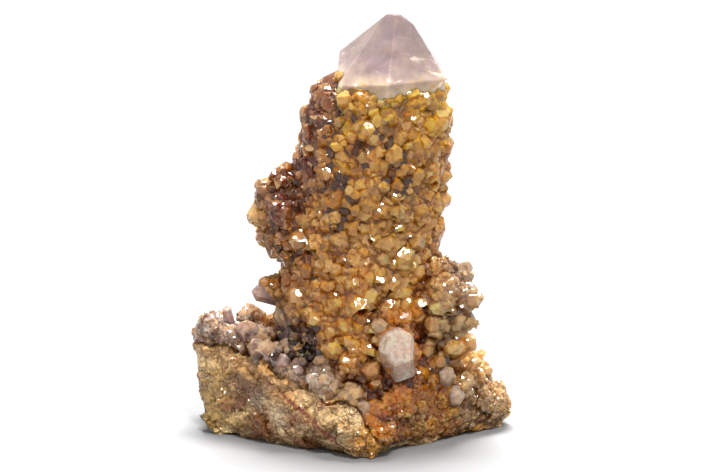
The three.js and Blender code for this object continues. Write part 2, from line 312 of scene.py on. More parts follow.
def pale_amethyst():
    material, tree, shader = new_material("pale_amethyst")
    cloud = mapped(tree, clouds(tree, 130, 4), 0.35, 0.65, 0, 1)
    lilac = mixed(tree, cloud, srgb(144, 125, 128), srgb(160, 141, 130))
    wander = worked(tree, "MULTIPLY", worked(tree, "SUBTRACT", clouds(tree, 240, 4), 0.5), 9 * MM)
    place = worked(tree, "ADD", height(tree), wander)
    foot = mapped(tree, place, 72 * MM, 80 * MM, 1, 0)
    colour = mixed(tree, foot, lilac, srgb(214, 192, 156))
    wisps = mapped(tree, clouds(tree, 520, 4, 0.6, 0.3, WISPS_ALONG), 0.6, 0.7, 0, 0.8)
    low = mapped(tree, place, 75 * MM, 84 * MM, 1, 0.1)
    crack = worked(tree, "MULTIPLY", wisps, low)
    colour = mixed(tree, crack, colour, srgb(240, 232, 214))
    flecks = mapped(tree, clouds(tree, 640, 3, 0.6, 0.8), 0.6, 0.66, 0, 0.8)
    golden = worked(tree, "MULTIPLY", flecks, mapped(tree, place, 76 * MM, 82 * MM, 1, 0))
    colour = mixed(tree, golden, colour, srgb(190, 152, 84))
    tree.links.new(colour, shader.inputs["Base Color"])
    veil = mapped(tree, clouds(tree, 200, 5, 0.6), 0.3, 0.7, 0.74, 0.5)
    clear = worked(tree, "MULTIPLY", veil, mapped(tree, place, 71 * MM, 83 * MM, 0.25, 1))
    clear = worked(tree, "MULTIPLY", clear, mapped(tree, crack, 0, 1, 1, 0.3))
    tree.links.new(clear, shader.inputs["Transmission Weight"])
    shader.inputs["Roughness"].default_value = 0.12
    shader.inputs["IOR"].default_value = QUARTZ_IOR
    shader.inputs["Subsurface Weight"].default_value = 1
    shader.inputs["Subsurface Radius"].default_value = (1.0, 0.8, 0.8)
    shader.inputs["Subsurface Scale"].default_value = 3 * MM
    bumped(tree, shader, clouds(tree, 500, 5, 0.6), 0.15, 0.3 * MM)
    absorb(tree, srgb(214, 182, 214), 16)
    return material


# Two small chips on the right edge of the tip
CHIPS = [((11.3, 0.8, 89.6), 0.9), ((13.7, -0.4, 87.0), 1.0), ((16.2, -2.2, 82.2), 0.7)]


def carve(thing, cutter):
    cut = thing.modifiers.new("cut", "BOOLEAN")
    cut.operation = "DIFFERENCE"
    cut.object = cutter
    cut.solver = "MANIFOLD"
    apply(thing, cut)
    bpy.data.objects.remove(cutter)


def chip(thing, place, radius):
    turn = (place[0], place[2], 0)
    bpy.ops.mesh.primitive_ico_sphere_add(
        subdivisions=1, radius=radius * MM, location=Vector(place) * MM, rotation=turn
    )
    carve(thing, bpy.context.active_object)


point = point_shape("main_crystal", 0)
point_cutter = point_shape("point_cutter", GAP)
bevel_edges(point, 0.2 * MM)
for place, radius in CHIPS:
    chip(point, place, radius)
point.data.materials.clear()
point.data.materials.append(pale_amethyst())
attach(point, "root")
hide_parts("spirit_quartz_cluster")


# The coat: quartz crystals, most of them 1 to 4 mm across, that grew over the main crystal and the
# top of the block. The solid's own crystals carry it, and finer ones grow all over them. Iron
# stains them from cream through honey and orange to chocolate brown.
def solid_copy(name):
    source = frame["nodes"]["spirit_quartz_cluster"]
    piece = bpy.data.objects.new(name, source.data.copy())
    bpy.context.scene.collection.objects.link(piece)
    edit(piece, lambda: bpy.ops.mesh.remove_doubles(threshold=1e-6))
    only(piece)
    bpy.ops.mesh.customdata_custom_splitnormals_clear()
    bpy.ops.object.shade_flat()
    return piece


def tree_of(piece):
    shape = bmesh.new()
    shape.from_mesh(piece.data)
    tree = BVHTree.FromBMesh(shape)
    shape.free()
    return tree


# Faces that meet across outward edges belong to one crystal
def crystal_of_each_face(mesh):
    shape = bmesh.new()
    shape.from_mesh(mesh)
    shape.faces.ensure_lookup_table()
    owner = [-1] * len(shape.faces)
    found = 0
    for first in shape.faces:
        if owner[first.index] >= 0:
            continue
        owner[first.index] = found
        waiting = [first]
        while waiting:
            face = waiting.pop()
            for edge in face.edges:
                joins = edge.is_convex or edge.calc_face_angle(0) < SAME_FACE
                for other in edge.link_faces if joins else ():
                    if owner[other.index] < 0:
                        owner[other.index] = found
                        waiting.append(other)
        found += 1
    shape.free()
    return owner, found


# Remakes a shape in cells of one size, and rounds it off in so many passes
def soften(thing, cell, passes):
    remesh = thing.modifiers.new("cells", "REMESH")
    remesh.mode = "VOXEL"
    remesh.voxel_size = cell
    apply(thing, remesh)
    smooth = thing.modifiers.new("softened", "SMOOTH")
    smooth.iterations = passes
    apply(thing, smooth)


crust = solid_copy("druse_crust")
body = solid_copy("smoothed_body")
soften(body, 1.5 * MM, 14)
body_tree = tree_of(body)
bpy.data.objects.remove(body)


# How far a place stands out of the rounded body, in metres: below zero in the gaps
def stands_out(place):
    near, normal, _, _ = body_tree.find_nearest(place)
    return (place - near).dot(normal)


# The lower edge of the coat on the block, in millimetres across and up
BREAK_LINE = [(-36, 20), (-22, 19), (-13, 14.5), (-4, 12.5), (1, 10), (5, 4), (8, 1.6), (36, 1.8)]
BACK_BREAK = 13.0  # its height at the back
SIDE_FROM = 4  # where the front's edge begins to change into the back's
SIDE_OVER = 6  # over what depth it does so
EDGE_BLUR = 2.0  # over what height the coat ends
LOOKS_DOWN = -0.8  # a face turned further down than this is the underside


# 1 on the broken faces of the block, 0 where crystals cover it
def broken_share(place, normal):
    across = place.x / MM
    front = 0.0
    for (left, low), (right, high) in zip(BREAK_LINE, BREAK_LINE[1:]):
        if left <= across <= right:
            front = low + (high - low) * (across - left) / (right - left)
    towards_back = min(1.0, max(0.0, (place.y / MM - SIDE_FROM) / SIDE_OVER))
    edge = front + (BACK_BREAK - front) * towards_back
    wander = 1.6 * noise.noise(place / (3.2 * MM)) + 0.8 * noise.noise(place / (1.2 * MM))
    below = (edge + wander - place.z / MM) / EDGE_BLUR
    if normal.z < LOOKS_DOWN:
        return 1.0
    return min(1.0, max(0.0, below + 0.5))


# The foot draws in under its edge, so that it stands on less than its outline
FOOT_HEIGHT = 4.0 * MM
FOOT_INSET = 2.4  # in millimetres, and how much it varies
FOOT_SWAY = 1.6


def undercut(place):
    low = max(0.0, 1 - place.z / FOOT_HEIGHT)
    inward = low**1.5 * (FOOT_INSET + FOOT_SWAY * noise.noise(place * 0.09 / MM)) * MM
    return place - Vector((place.x, place.y, 0)).normalized() * inward


owner, n_crystals = crystal_of_each_face(crust.data)


# The solid's crystals stand lower here, because the finer ones on them add their own height. They
# keep more of it at the lower left and on the right, where the coat is lumpy.
COAT_TOP = 76 * MM
LUMPY_BELOW = 26 * MM
LUMPY_LEFT_OF = 3 * MM
LUMPY_RIGHT_OF = 16 * MM
KEEP_LUMPY = 0.75  # the share of its rise that a crystal keeps
KEEP = 0.5
BARE_FROM = 0.4  # no crystals grow on faces that are more broken than this


def settle(place):
    near, normal, _, _ = body_tree.find_nearest(place)
    rise = (place - near).dot(normal)
    low_left = place.z < LUMPY_BELOW and place.x < LUMPY_LEFT_OF
    keep = KEEP_LUMPY if low_left or place.x > LUMPY_RIGHT_OF else KEEP
    return place - normal * max(0.0, rise) * (1 - keep)


for vertex in crust.data.vertices:
    if vertex.co.z < COAT_TOP:
        vertex.co = settle(vertex.co)
crust.data.update()
crust_faces = list(crust.data.polygons)
bare = np.array([broken_share(face.center, face.normal) > BARE_FROM for face in crust_faces])
random.seed(11)


CAP = 0.72  # height of a crystal's end faces, over its radius
FACE_TILT = math.atan2(CAP, math.cos(math.pi / 6))  # between a crystal's axis and its end faces


# A crystal of 1 mm radius: a six-sided prism whose end is cut by six faces, each at its own depth
def model_crystal(depths, width):
    bpy.ops.object.select_all(action="DESELECT")
    bpy.ops.mesh.primitive_cylinder_add(
        vertices=6, radius=MM, depth=3 * MM, location=(0, 0, 0.5 * MM)
    )
    crystal = bpy.context.active_object
    bpy.ops.object.transform_apply(location=True)
    bpy.ops.object.mode_set(mode="EDIT")
    bpy.ops.mesh.select_all(action="SELECT")
    bpy.ops.transform.resize(value=(1, width, 1))
    for number, depth in enumerate(depths):
        turn = number * math.pi / 3
        side = math.sin(FACE_TILT)
        slope = Vector((side * math.cos(turn), side * math.sin(turn), math.cos(FACE_TILT)))
        cut_place = (0, 0, (1 + CAP - depth) * MM)
        bpy.ops.mesh.select_all(action="SELECT")
        bpy.ops.mesh.bisect(plane_co=cut_place, plane_no=slope, use_fill=True, clear_outer=True)
    bpy.ops.object.mode_set(mode="OBJECT")
    crystal.data.attributes.new("tint", "FLOAT", "FACE")
    return crystal


EVEN = model_crystal([0.2] + [0] * 5, 1)
BROAD = model_crystal([0.7, 0.1, 0, 0.1, 0, 0.2], 0.95)
UNEVEN = [
    model_crystal([random.uniform(0, 0.5) for _ in range(6)], random.uniform(0.75, 1))
    for _ in range(14)
]
growing = bpy.data.collections.new("growing")
bpy.context.scene.collection.children.link(growing)
LOW_X, LOW_Y, _ = cad_box[0]
HIGH_X, HIGH_Y, _ = cad_box[1]
OFF_TABLE = 0.05 * MM  # how far above the table a crystal stays


# Copies a model crystal to its place, unless it would stand out of the specimen's box
def grow(shape, place, axis, across, size, lift, stem=1.0):
    facing = (across - axis * across.dot(axis)).normalized()
    turn = Matrix((facing, axis.cross(facing), axis)).transposed().to_4x4()
    where = Matrix.Translation(place + axis * lift * MM * size) @ turn @ Matrix.Scale(size, 4)
    mesh = shape.data.copy()
    for corner in mesh.vertices:
        if corner.co.z < 0:
            corner.co.z *= stem
    mesh.transform(where)
    inside = all(
        LOW_X < v.co.x < HIGH_X and LOW_Y < v.co.y < HIGH_Y and v.co.z > OFF_TABLE
        for v in mesh.vertices
    )
    if not inside:
        bpy.data.meshes.remove(mesh)
        return None
    count = len(mesh.polygons)
    mesh.attributes["tint"].data.foreach_set("value", [random.random()] * count)
    crystal = bpy.data.objects.new("small", mesh)
    growing.objects.link(crystal)
    return crystal


# Where the crystals are fine and sugary: centre, reach, and their size over the others'
SUGARY = [
    ((13, -14, 8), 9, 0.6), ((5, -19, 5), 5, 0.6), ((26, -2, 6), 9, 0.6), ((-28, 1, 23), 7, 0.6),
    ((-20, -4, 23), 5, 0.6), ((-10, -11, 18), 5, 0.7), ((19, -4, 35), 6, 0.65),
]


# How sugary a place is, from 0 to 1, and how fine its crystals are
def sugar_share(place):
    shares = [
        (math.exp(-(((place / MM - Vector(centre)).length / reach) ** 2)), size)
        for centre, reach, size in SUGARY
    ]
    return max(shares)


# Larger crystals, given one by one: where the shoulders are, axis, radius, how many times longer
# the root is, and the crystal's own stain
LILAC = srgb(156, 136, 156)
SMOKY = srgb(124, 108, 132)
GLASSY = srgb(154, 134, 144)
BROWN = srgb(146, 108, 66)
CREAM = srgb(216, 196, 160)
PLACED = [
    ((8.7, -15.6, 24.2), (-0.1, -0.6, 0.79), 4.2, 1.2, srgb(184, 158, 166)),
    ((5.2, -13.4, 27.6), (-0.15, -0.6, 0.75), 1.9, 2.0, srgb(160, 134, 128)),
    ((3.4, -14.0, 18.6), (-0.1, -0.7, 0.7), 2.3, 1.0, srgb(150, 92, 56)),
    ((-26.6, 1.5, 26.4), (-0.2, -0.1, 0.95), 1.2, 2.5, SMOKY),
    ((-22.0, -2.4, 24.4), (-0.2, -0.15, 0.95), 3.2, 1.5, LILAC),
    ((-20.4, 0.5, 30.2), (-0.9, -0.2, 0.3), 1.9, 2.5, SMOKY),
    ((-19.4, -6.8, 21.6), (-0.1, -0.6, 0.8), 3.1, 1.5, GLASSY),
    ((-14.6, -10.4, 19.0), (0.1, -0.5, 0.85), 2.0, 3.0, GLASSY),
    ((-11.4, -12.2, 17.4), (0.3, -0.45, 0.8), 1.5, 3.5, GLASSY),
    ((-8.0, -14.2, 16.0), (0.15, -0.5, 0.85), 2.0, 3.0, srgb(184, 158, 164)),
    ((-4.6, -15.2, 14.6), (0.35, -0.45, 0.8), 1.6, 3.5, GLASSY),
    ((-0.6, -15.6, 14.4), (0.1, -0.5, 0.85), 1.8, 3.0, srgb(184, 158, 164)),
    ((-6.2, -17.6, 12.2), (0.3, -0.7, 0.65), 1.6, 3.0, GLASSY),
    ((2.2, -18.4, 11.2), (0.2, -0.6, 0.75), 1.5, 3.0, GLASSY),
    ((17.6, -9.4, 30.0), (0.05, -0.9, 0.4), 2.2, 1.5, srgb(192, 160, 120)),
    ((24.4, -3.4, 31.4), (0.75, -0.45, 0.5), 3.3, 1.8, LILAC),
    ((23.8, -4.2, 25.6), (0.85, -0.5, 0.15), 3.4, 1.8, srgb(150, 128, 148)),
    ((19.6, -6.4, 35.6), (0.15, -0.6, 0.8), 3.2, 1.5, srgb(176, 152, 130)),
    ((21.4, -7.4, 20.8), (0.3, -0.85, 0.4), 2.2, 1.5, srgb(184, 140, 98)),
    ((26.0, -2.0, 16.6), (0.5, -0.3, 0.8), 1.6, 2.0, srgb(150, 122, 106)),
    ((25.0, -1.2, 20.4), (0.7, -0.3, 0.6), 2.3, 2.0, srgb(180, 140, 104)),
    ((27.0, -0.6, 13.6), (0.6, -0.3, 0.7), 2.0, 2.0, srgb(168, 130, 96)),
    ((21.6, -7.6, 10.6), (0.15, -0.8, 0.55), 2.4, 1.5, srgb(168, 146, 156)),
    ((19.4, -8.6, 15.2), (0, -0.8, 0.6), 2.0, 1.5, srgb(150, 134, 150)),
    ((-3.9, -1.0, 76.4), (-0.55, -0.25, 0.8), 1.9, 1.5, BROWN),
    ((-5.4, 1.0, 73.8), (-0.7, -0.2, 0.65), 2.2, 1.5, BROWN),
    ((-3.2, -3.2, 78.2), (-0.3, -0.4, 0.9), 1.2, 2.0, BROWN),
    ((-2.6, -5.4, 75.4), (-0.3, -0.6, 0.75), 1.6, 2.0, CREAM),
    ((-0.4, -7.4, 74.4), (-0.2, -0.6, 0.8), 1.4, 2.0, CREAM),
    ((-4.4, 4.0, 75.6), (-0.6, 0.2, 0.8), 2.0, 1.5, BROWN),
]
BROAD_FROM = 4  # a crystal of a larger radius turns a broad face to the front
WORN = 0.12  # rounding of a placed crystal's edges, over its radius
KEPT_FREE = 1.5  # it counts as this much wider, so that the fine crystals keep off it
LONG_STEM = 2.2  # crystals with a longer root than this have an even end

# Places where a face mirrors the softbox towards the front, each with its crystal's size
GLINTS = [
    ((5.8, -11.1, 51.1), 1.9), ((-11.5, -6.4, 43.5), 1.9), ((4.2, -11.1, 45.2), 1.5),
    ((9.6, -10.0, 46.8), 1.2), ((11.4, -8.4, 45.1), 1.2), ((10.8, -10.1, 40.8), 2.0),
    ((12.1, -7.5, 38.2), 1.6), ((2.6, -11.3, 39.9), 1.1), ((5.7, -11.5, 36.1), 1.3),
    ((7.5, -10.1, 34.6), 2.2), ((-11.9, -5.7, 31.7), 2.0), ((-14.1, -3.6, 25.6), 1.9),
    ((1.3, -12.4, 30.8), 2.0), ((7.5, -10.5, 30.6), 1.4), ((10.9, -9.3, 27.7), 1.9),
    ((14.2, -8.6, 30.1), 1.4), ((-1.3, -11.9, 19.0), 2.2), ((3.8, -13.0, 25.6), 1.0),
    ((23.8, -3.7, 12.6), 1.7),
]
GLINT_SIZE = 1.1  # a glinting crystal's radius, over the size given
GLINT_LIFT = -0.8
SEEDS = 56000  # places tried, the first ones with the largest crystals
SPACING = 0.44  # least distance between two crystals, over the sum of their radii
LARGEST = 2.15  # radius of the first ones, in millimetres
SHRINK = 1.5  # how much less it is for the last ones
FINE = 1  # crystals of less radius may grow on top of others
FINE_RISE = 3.5  # how far out of the rounded body those may start, in millimetres
COARSE_RISE = 1.4
SEED_TOP = 75 * MM
SUGARY_FROM = 0.35
STRAY = 0.4  # how far an axis strays from upright on its ground
UPWARD = 0.2
LIFTS = (-1.15, -0.75)  # from the ground to the crystal's origin, over its radius

spots = np.zeros((SEEDS, 3))
spans = np.zeros(SEEDS)
n_grown = 0
for place, size in GLINTS:
    place = Vector(place) * MM
    mirror = ((EYE - place).normalized() + (SOFTBOX - place).normalized()).normalized()
    _, normal, _, _ = body_tree.find_nearest(place)
    hinge = mirror.cross(normal).normalized()
    axis = Matrix.Rotation(FACE_TILT, 3, hinge) @ mirror
    grow(EVEN, place, axis, mirror, GLINT_SIZE * size, GLINT_LIFT)
    spots[n_grown] = np.array(place) / MM
    spans[n_grown] = size
    n_grown += 1

own_stains = []
for place, axis, size, stem, colour in PLACED:
    across = Vector([random.uniform(-1, 1) for _ in range(3)])
    shape = EVEN if stem > LONG_STEM else random.choice(UNEVEN)
    if size > BROAD_FROM:
        shape = BROAD
        across = Vector((0.25, -1, 0))
    crystal = grow(shape, Vector(place) * MM, Vector(axis).normalized(), across, size, -1.0, stem)
    bevel_edges(crystal, WORN * size * MM)
    own_stains.append((crystal.data.attributes["tint"].data[0].value, colour))
    spots[n_grown] = place
    spans[n_grown] = size * KEPT_FREE
    n_grown += 1


# Keeps one number for each face or point of a mesh, for its material to read
def store(mesh, name, domain, values):
    layer = mesh.attributes.new(name, "FLOAT", domain)
    layer.data.foreach_set("value", np.array(values, dtype=np.float32))


tint_of = [random.random() for _ in range(n_crystals)]
store(crust.data, "tint", "FACE", [tint_of[number] for number in owner])

areas = np.array([face.area for face in crust_faces])
areas[bare] = 0
chance = np.cumsum(areas) / areas.sum()
for number in range(SEEDS):
    face = crust_faces[int(np.searchsorted(chance, random.random()))]
    corners = [crust.data.vertices[v].co for v in face.vertices]
    u, v = sorted((random.random(), random.random()))
    place = corners[0] * u + corners[1] * (v - u) + corners[2] * (1 - v)
    sugar, fineness = sugar_share(place)
    is_sugary = sugar > SUGARY_FROM
    size = random.uniform(0.9, 1.1) * (LARGEST - SHRINK * (number / SEEDS) ** 0.4)
    highest = FINE_RISE if is_sugary or size < FINE else COARSE_RISE
    if stands_out(place) > highest * MM or place.z > SEED_TOP:
        continue
    _, normal, _, _ = body_tree.find_nearest(place)
    scatter = Vector([random.uniform(-STRAY, STRAY) for _ in range(3)])
    axis = (normal + scatter + Vector((0, 0, UPWARD))).normalized()
    if is_sugary:
        size *= fineness
    spot = np.array(place) / MM
    away = np.sum((spots[:n_grown] - spot) ** 2, axis=1)
    if np.any(away < (SPACING * (size + spans[:n_grown])) ** 2):
        continue
    across = Vector([random.uniform(-1, 1) for _ in range(3)])
    grow(random.choice(UNEVEN), place, axis, across, size, random.uniform(*LIFTS))
    spots[n_grown] = spot
    spans[n_grown] = size
    n_grown += 1

# Join what has grown to the coat, as one closed mesh
union = crust.modifiers.new("grown", "BOOLEAN")
union.operation = "UNION"
union.operand_type = "COLLECTION"
union.collection = growing
union.solver = "MANIFOLD"
apply(crust, union)
for crystal in list(growing.objects):
    bpy.data.objects.remove(crystal)
bpy.data.collections.remove(growing)
for shape in [EVEN, BROAD, *UNEVEN]:
    bpy.data.objects.remove(shape)

# Sink the coat under the broken faces of the block
SUNK = 1.2  # in millimetres
CRUST_FOOT = 0.6 * MM
for vertex, normal in zip(crust.data.vertices, [v.normal.copy() for v in crust.data.vertices]):
    share = broken_share(vertex.co, normal)
    if share > 0.5:
        _, inward, _, _ = body_tree.find_nearest(vertex.co)
        vertex.co -= (normal + 2 * inward) * SUNK * MM * min(1.0, 2 * share - 1)
        vertex.co.z = max(vertex.co.z, CRUST_FOOT)
    vertex.co = undercut(vertex.co)
carve(crust, point_cutter)

# A deep gap between the rim and the coat
CLEFT_PLACE = Vector((-11.2, -9.4, 21.3)) * MM
CLEFT_ALONG = Vector((0.75, -0.3, -0.6))
CLEFT_SIZE = (1.5, 2.2, 3.2)
bpy.ops.mesh.primitive_ico_sphere_add(subdivisions=2, radius=MM, location=(0, 0, 0))
cleft = bpy.context.active_object
cleft_turn = CLEFT_ALONG.to_track_quat("Z", "Y").to_matrix().to_4x4()
cleft_size = Matrix.Diagonal((*CLEFT_SIZE, 1))
cleft.data.transform(Matrix.Translation(CLEFT_PLACE) @ cleft_turn @ cleft_size)
carve(crust, cleft)

# A stain inside clear quartz looks darker than it is, by LOSS in red, green and blue, and
# reflections lay HAZE over it. The stains are given as they look: centre, reach and colour.
HAZE = 0.04
LOSS = (0.49, 0.45, 0.58)
DARKEST = 0.008
COAT_STAINS_AND_SHADE = [
    ((14.7, -7.3, 70), 7, srgb(184, 134, 58)),
    ((-7, -4, 70), 7, srgb(90, 62, 32)),
    ((3, -11, 72), 7, srgb(176, 134, 62)),
    ((0.3, -11, 60), 7, srgb(188, 138, 74)),
    ((10, -11, 58), 8, srgb(176, 130, 72)),
    ((5.4, -11, 47), 9, srgb(172, 128, 76)),
    ((-4, -10, 48), 7, srgb(160, 116, 66)),
    ((8, -11, 36), 8, srgb(200, 152, 96)),
    ((0, -12, 28), 8, srgb(198, 144, 82)),
    ((9, -12, 26), 6, srgb(186, 112, 50)),
    ((9.6, -15, 11), 8, srgb(174, 112, 52)),
    ((15, -10, 5), 6, srgb(176, 126, 64)),
    ((-17, -4, 50), 7, srgb(76, 50, 34)),
    ((-21, 0, 47), 4, srgb(128, 102, 66)),
    ((-10, -4, 57), 7, srgb(64, 42, 26)),
    ((-14, -4, 38), 7, srgb(126, 84, 48)),
    # Near-black in the deep gap between the rim and the coat: painted shade
    ((-11, -8.6, 21), 4.4, srgb(46, 27, 18)),
    ((-8, -8, 34), 5, srgb(160, 112, 62)),
    ((22.2, -1.4, 33), 7, srgb(120, 105, 108)),
    ((21, -7.4, 26), 6, srgb(162, 132, 108)),
    ((28.7, 1, 9), 6, srgb(152, 128, 114)),
    ((33, 4, 2.5), 4, srgb(168, 126, 72)),
    ((13.2, -11.6, 6), 3, srgb(140, 122, 108)),
    ((-28, 1, 23), 7, srgb(134, 119, 130)),
    ((-18, -6, 22), 5, srgb(134, 118, 130)),
    ((-14, -10, 19), 4, srgb(134, 120, 130)),
    ((-8.6, -13, 16), 4, srgb(140, 126, 132)),
    ((0.5, -17, 15), 4, srgb(146, 124, 114)),
    ((2, 14, 45), 22, srgb(164, 120, 74)),
    ((-5, 16, 20), 12, srgb(156, 130, 102)),
    ((20, 14, 18), 12, srgb(162, 124, 82)),
]
# Where the coat has dark spots: centre and reach. They are iron oxide, but the one in the deep
# gap between the rim and the coat is painted shade.
DARK_SPOTS = [
    ((-9, -4, 67), 4.5), ((-3, -9, 66), 4.5), ((3, -11, 65), 3.5), ((9.5, -11, 63.8), 3),
    ((-4, -10, 57), 5), ((-1.7, -10.7, 50), 4), ((-5.9, -10.3, 37), 3), ((-12, -5, 61), 5),
    ((-14, -5, 52), 5), ((-13, -4, 42), 5), ((-11, -8, 22), 4), ((8, -11, 58), 3.5),
    ((22, -4, 20), 3), ((16, -8, 24), 3),
]
RUST_AND_SHADE_SHARE = 0.8  # of the small crystals in the middle of such a place
SMALL_CRYSTAL = 5  # square millimetres of faces


# Each zone colours what is near it, and one zone passes softly into the next
FALL = 1.6  # how fast a zone fades, and how faintly it still counts far away
FAINT = 1e-4


def zone_colours(places, zones):
    weights = np.zeros(len(places))
    colours = np.zeros((len(places), 3))
    for centre, reach, colour in zones:
        away = np.linalg.norm(places - np.array(centre), axis=1) / reach
        weight = np.exp(-FALL * away**2) + FAINT / (1 + away**4)
        weights += weight
        colours += weight[:, None] * np.array(colour)
    return colours / weights[:, None]


def store_stain(mesh, domain, colours):
    layer = mesh.attributes.new("stain", "FLOAT_COLOR", domain)
    opaque = np.column_stack([colours, np.ones(len(colours))])
    layer.data.foreach_set("color", opaque.astype(np.float32).ravel())


# How near each place is to the middle of a dark spot, from 0 to 1
def iron_and_shade_near(places):
    nearness = np.zeros(len(places))
    for centre, reach in DARK_SPOTS:
        away = np.linalg.norm(places - np.array(centre), axis=1) / reach
        nearness = np.maximum(nearness, np.exp(-(away**2)))
    return nearness


faces = crust.data.polygons
centres = np.array([face.center for face in faces]) / MM
areas = np.array([face.area for face in faces]) / MM**2
tints = np.zeros(len(faces), dtype=np.float32)
crust.data.attributes["tint"].data.foreach_get("value", tints)

# A crystal is all the faces of one tint, and takes the stain of the place where its middle is.
# Faces further than 3 mm from there pass, over 3 mm more, to the stain of their own place.
OWN_FROM = 3
SAME_TINT = 1e-7
_, crystal = np.unique(tints, return_inverse=True)
mass = np.bincount(crystal, areas)
middles = np.column_stack(
    [np.bincount(crystal, areas * centres[:, axis]) / mass for axis in range(3)]
)
spread = np.linalg.norm(centres - middles[crystal], axis=1)
own = np.clip((spread - OWN_FROM) / OWN_FROM, 0, 1)[:, None]
stained = middles[crystal] * (1 - own) + centres * own
colours = zone_colours(stained, COAT_STAINS_AND_SHADE)
for own_tint, colour in own_stains:
    colours[np.abs(tints - own_tint) < SAME_TINT] = colour
colours = np.maximum((colours - HAZE) / np.array(LOSS), DARKEST)
colours /= np.maximum(1, colours.max(axis=1))[:, None]
store_stain(crust.data, "FACE", colours)

corners = np.array([vertex.co for vertex in crust.data.vertices]) / MM
store(crust.data, "iron_and_shade", "POINT", iron_and_shade_near(corners))
luck = np.array([random.random() for _ in middles])
is_dark = (luck < RUST_AND_SHADE_SHARE * iron_and_shade_near(middles)) & (mass < SMALL_CRYSTAL)
store(crust.data, "rust_and_shade", "FACE", is_dark[crystal])
sugary = [sugar_share(vertex.co)[0] for vertex in crust.data.vertices]
store(crust.data, "sugar", "POINT", sugary)

# Each face of a crystal has its own brightness, scrambled from its tint and the way it looks.
# It is painted light and shade, and the brightest faces get a painted sheen in the material.
SCRAMBLE = np.array([12.9898, 78.233, 37.719])
tilts = np.round(np.array([face.normal for face in faces]), 2) @ SCRAMBLE
scrambled = np.modf(np.abs(np.sin(tilts + 91 * tints)) * 43758.5)[0]
store(crust.data, "facet_light_and_shade", "FACE", scrambled)
outside = [stands_out(vertex.co) / MM for vertex in crust.data.vertices]
store(crust.data, "growth", "POINT", outside)


def attribute(tree, name, output="Fac"):
    reader = tree.nodes.new("ShaderNodeAttribute")
    reader.attribute_name = name
    return reader.outputs[output]


def vector_sum(tree, operation, first, second):
    node = tree.nodes.new("ShaderNodeVectorMath")
    node.operation = operation
    for value, socket in zip((first, second), node.inputs):
        plug(tree, value, socket)
    return node.outputs["Vector"]


def scaled(tree, vector, share):
    node = tree.nodes.new("ShaderNodeVectorMath")
    node.operation = "SCALE"
    tree.links.new(vector, node.inputs["Vector"])
    plug(tree, share, node.inputs["Scale"])
    return node.outputs["Vector"]


# Grains: each cell of a split-up space has its own random colour, and a distance to its edge
def grains(tree, size, sway=0.0, output="Color", feature="F1"):
    node = tree.nodes.new("ShaderNodeTexVoronoi")
    node.feature = feature
    node.inputs["Scale"].default_value = 1 / size
    place = object_place(tree)
    if sway:
        wave = tree.nodes.new("ShaderNodeTexNoise")
        wave.inputs["Scale"].default_value = 0.7 / size
        wave.inputs["Detail"].default_value = 3
        tree.links.new(place, wave.inputs["Vector"])
        centred = vector_sum(tree, "SUBTRACT", wave.outputs["Color"], (0.5, 0.5, 0.5))
        place = vector_sum(tree, "ADD", place, scaled(tree, centred, sway))
    tree.links.new(place, node.inputs["Vector"])
    return node.outputs[output]


# Sparkle: every grain's face tips its own way, so that a few of them catch the light
def sparkling(tree, shader, size, tip):
    surface = tree.nodes.new("ShaderNodeNewGeometry").outputs["Normal"]
    centred = vector_sum(tree, "SUBTRACT", grains(tree, size), (0.5, 0.5, 0.5))
    tilted = vector_sum(tree, "ADD", surface, scaled(tree, centred, tip))
    node = tree.nodes.new("ShaderNodeVectorMath")
    node.operation = "NORMALIZE"
    tree.links.new(tilted, node.inputs[0])
    tree.links.new(node.outputs["Vector"], shader.inputs["Normal"])


def multiplied(tree, colour, factor):
    return mixed(tree, 1.0, colour, factor, "MULTIPLY")


# Makes a colour brighter or darker by a number
def shaded(tree, colour, value):
    node = tree.nodes.new("ShaderNodeCombineColor")
    for name in ("Red", "Green", "Blue"):
        tree.links.new(value, node.inputs[name])
    return multiplied(tree, colour, node.outputs["Color"])


def speckled(tree, colour, low, high, size, sway=0.0):
    split = tree.nodes.new("ShaderNodeSeparateColor")
    tree.links.new(grains(tree, size, sway), split.inputs["Color"])
    return shaded(tree, colour, mapped(tree, split.outputs["Red"], 0, 1, low, high))


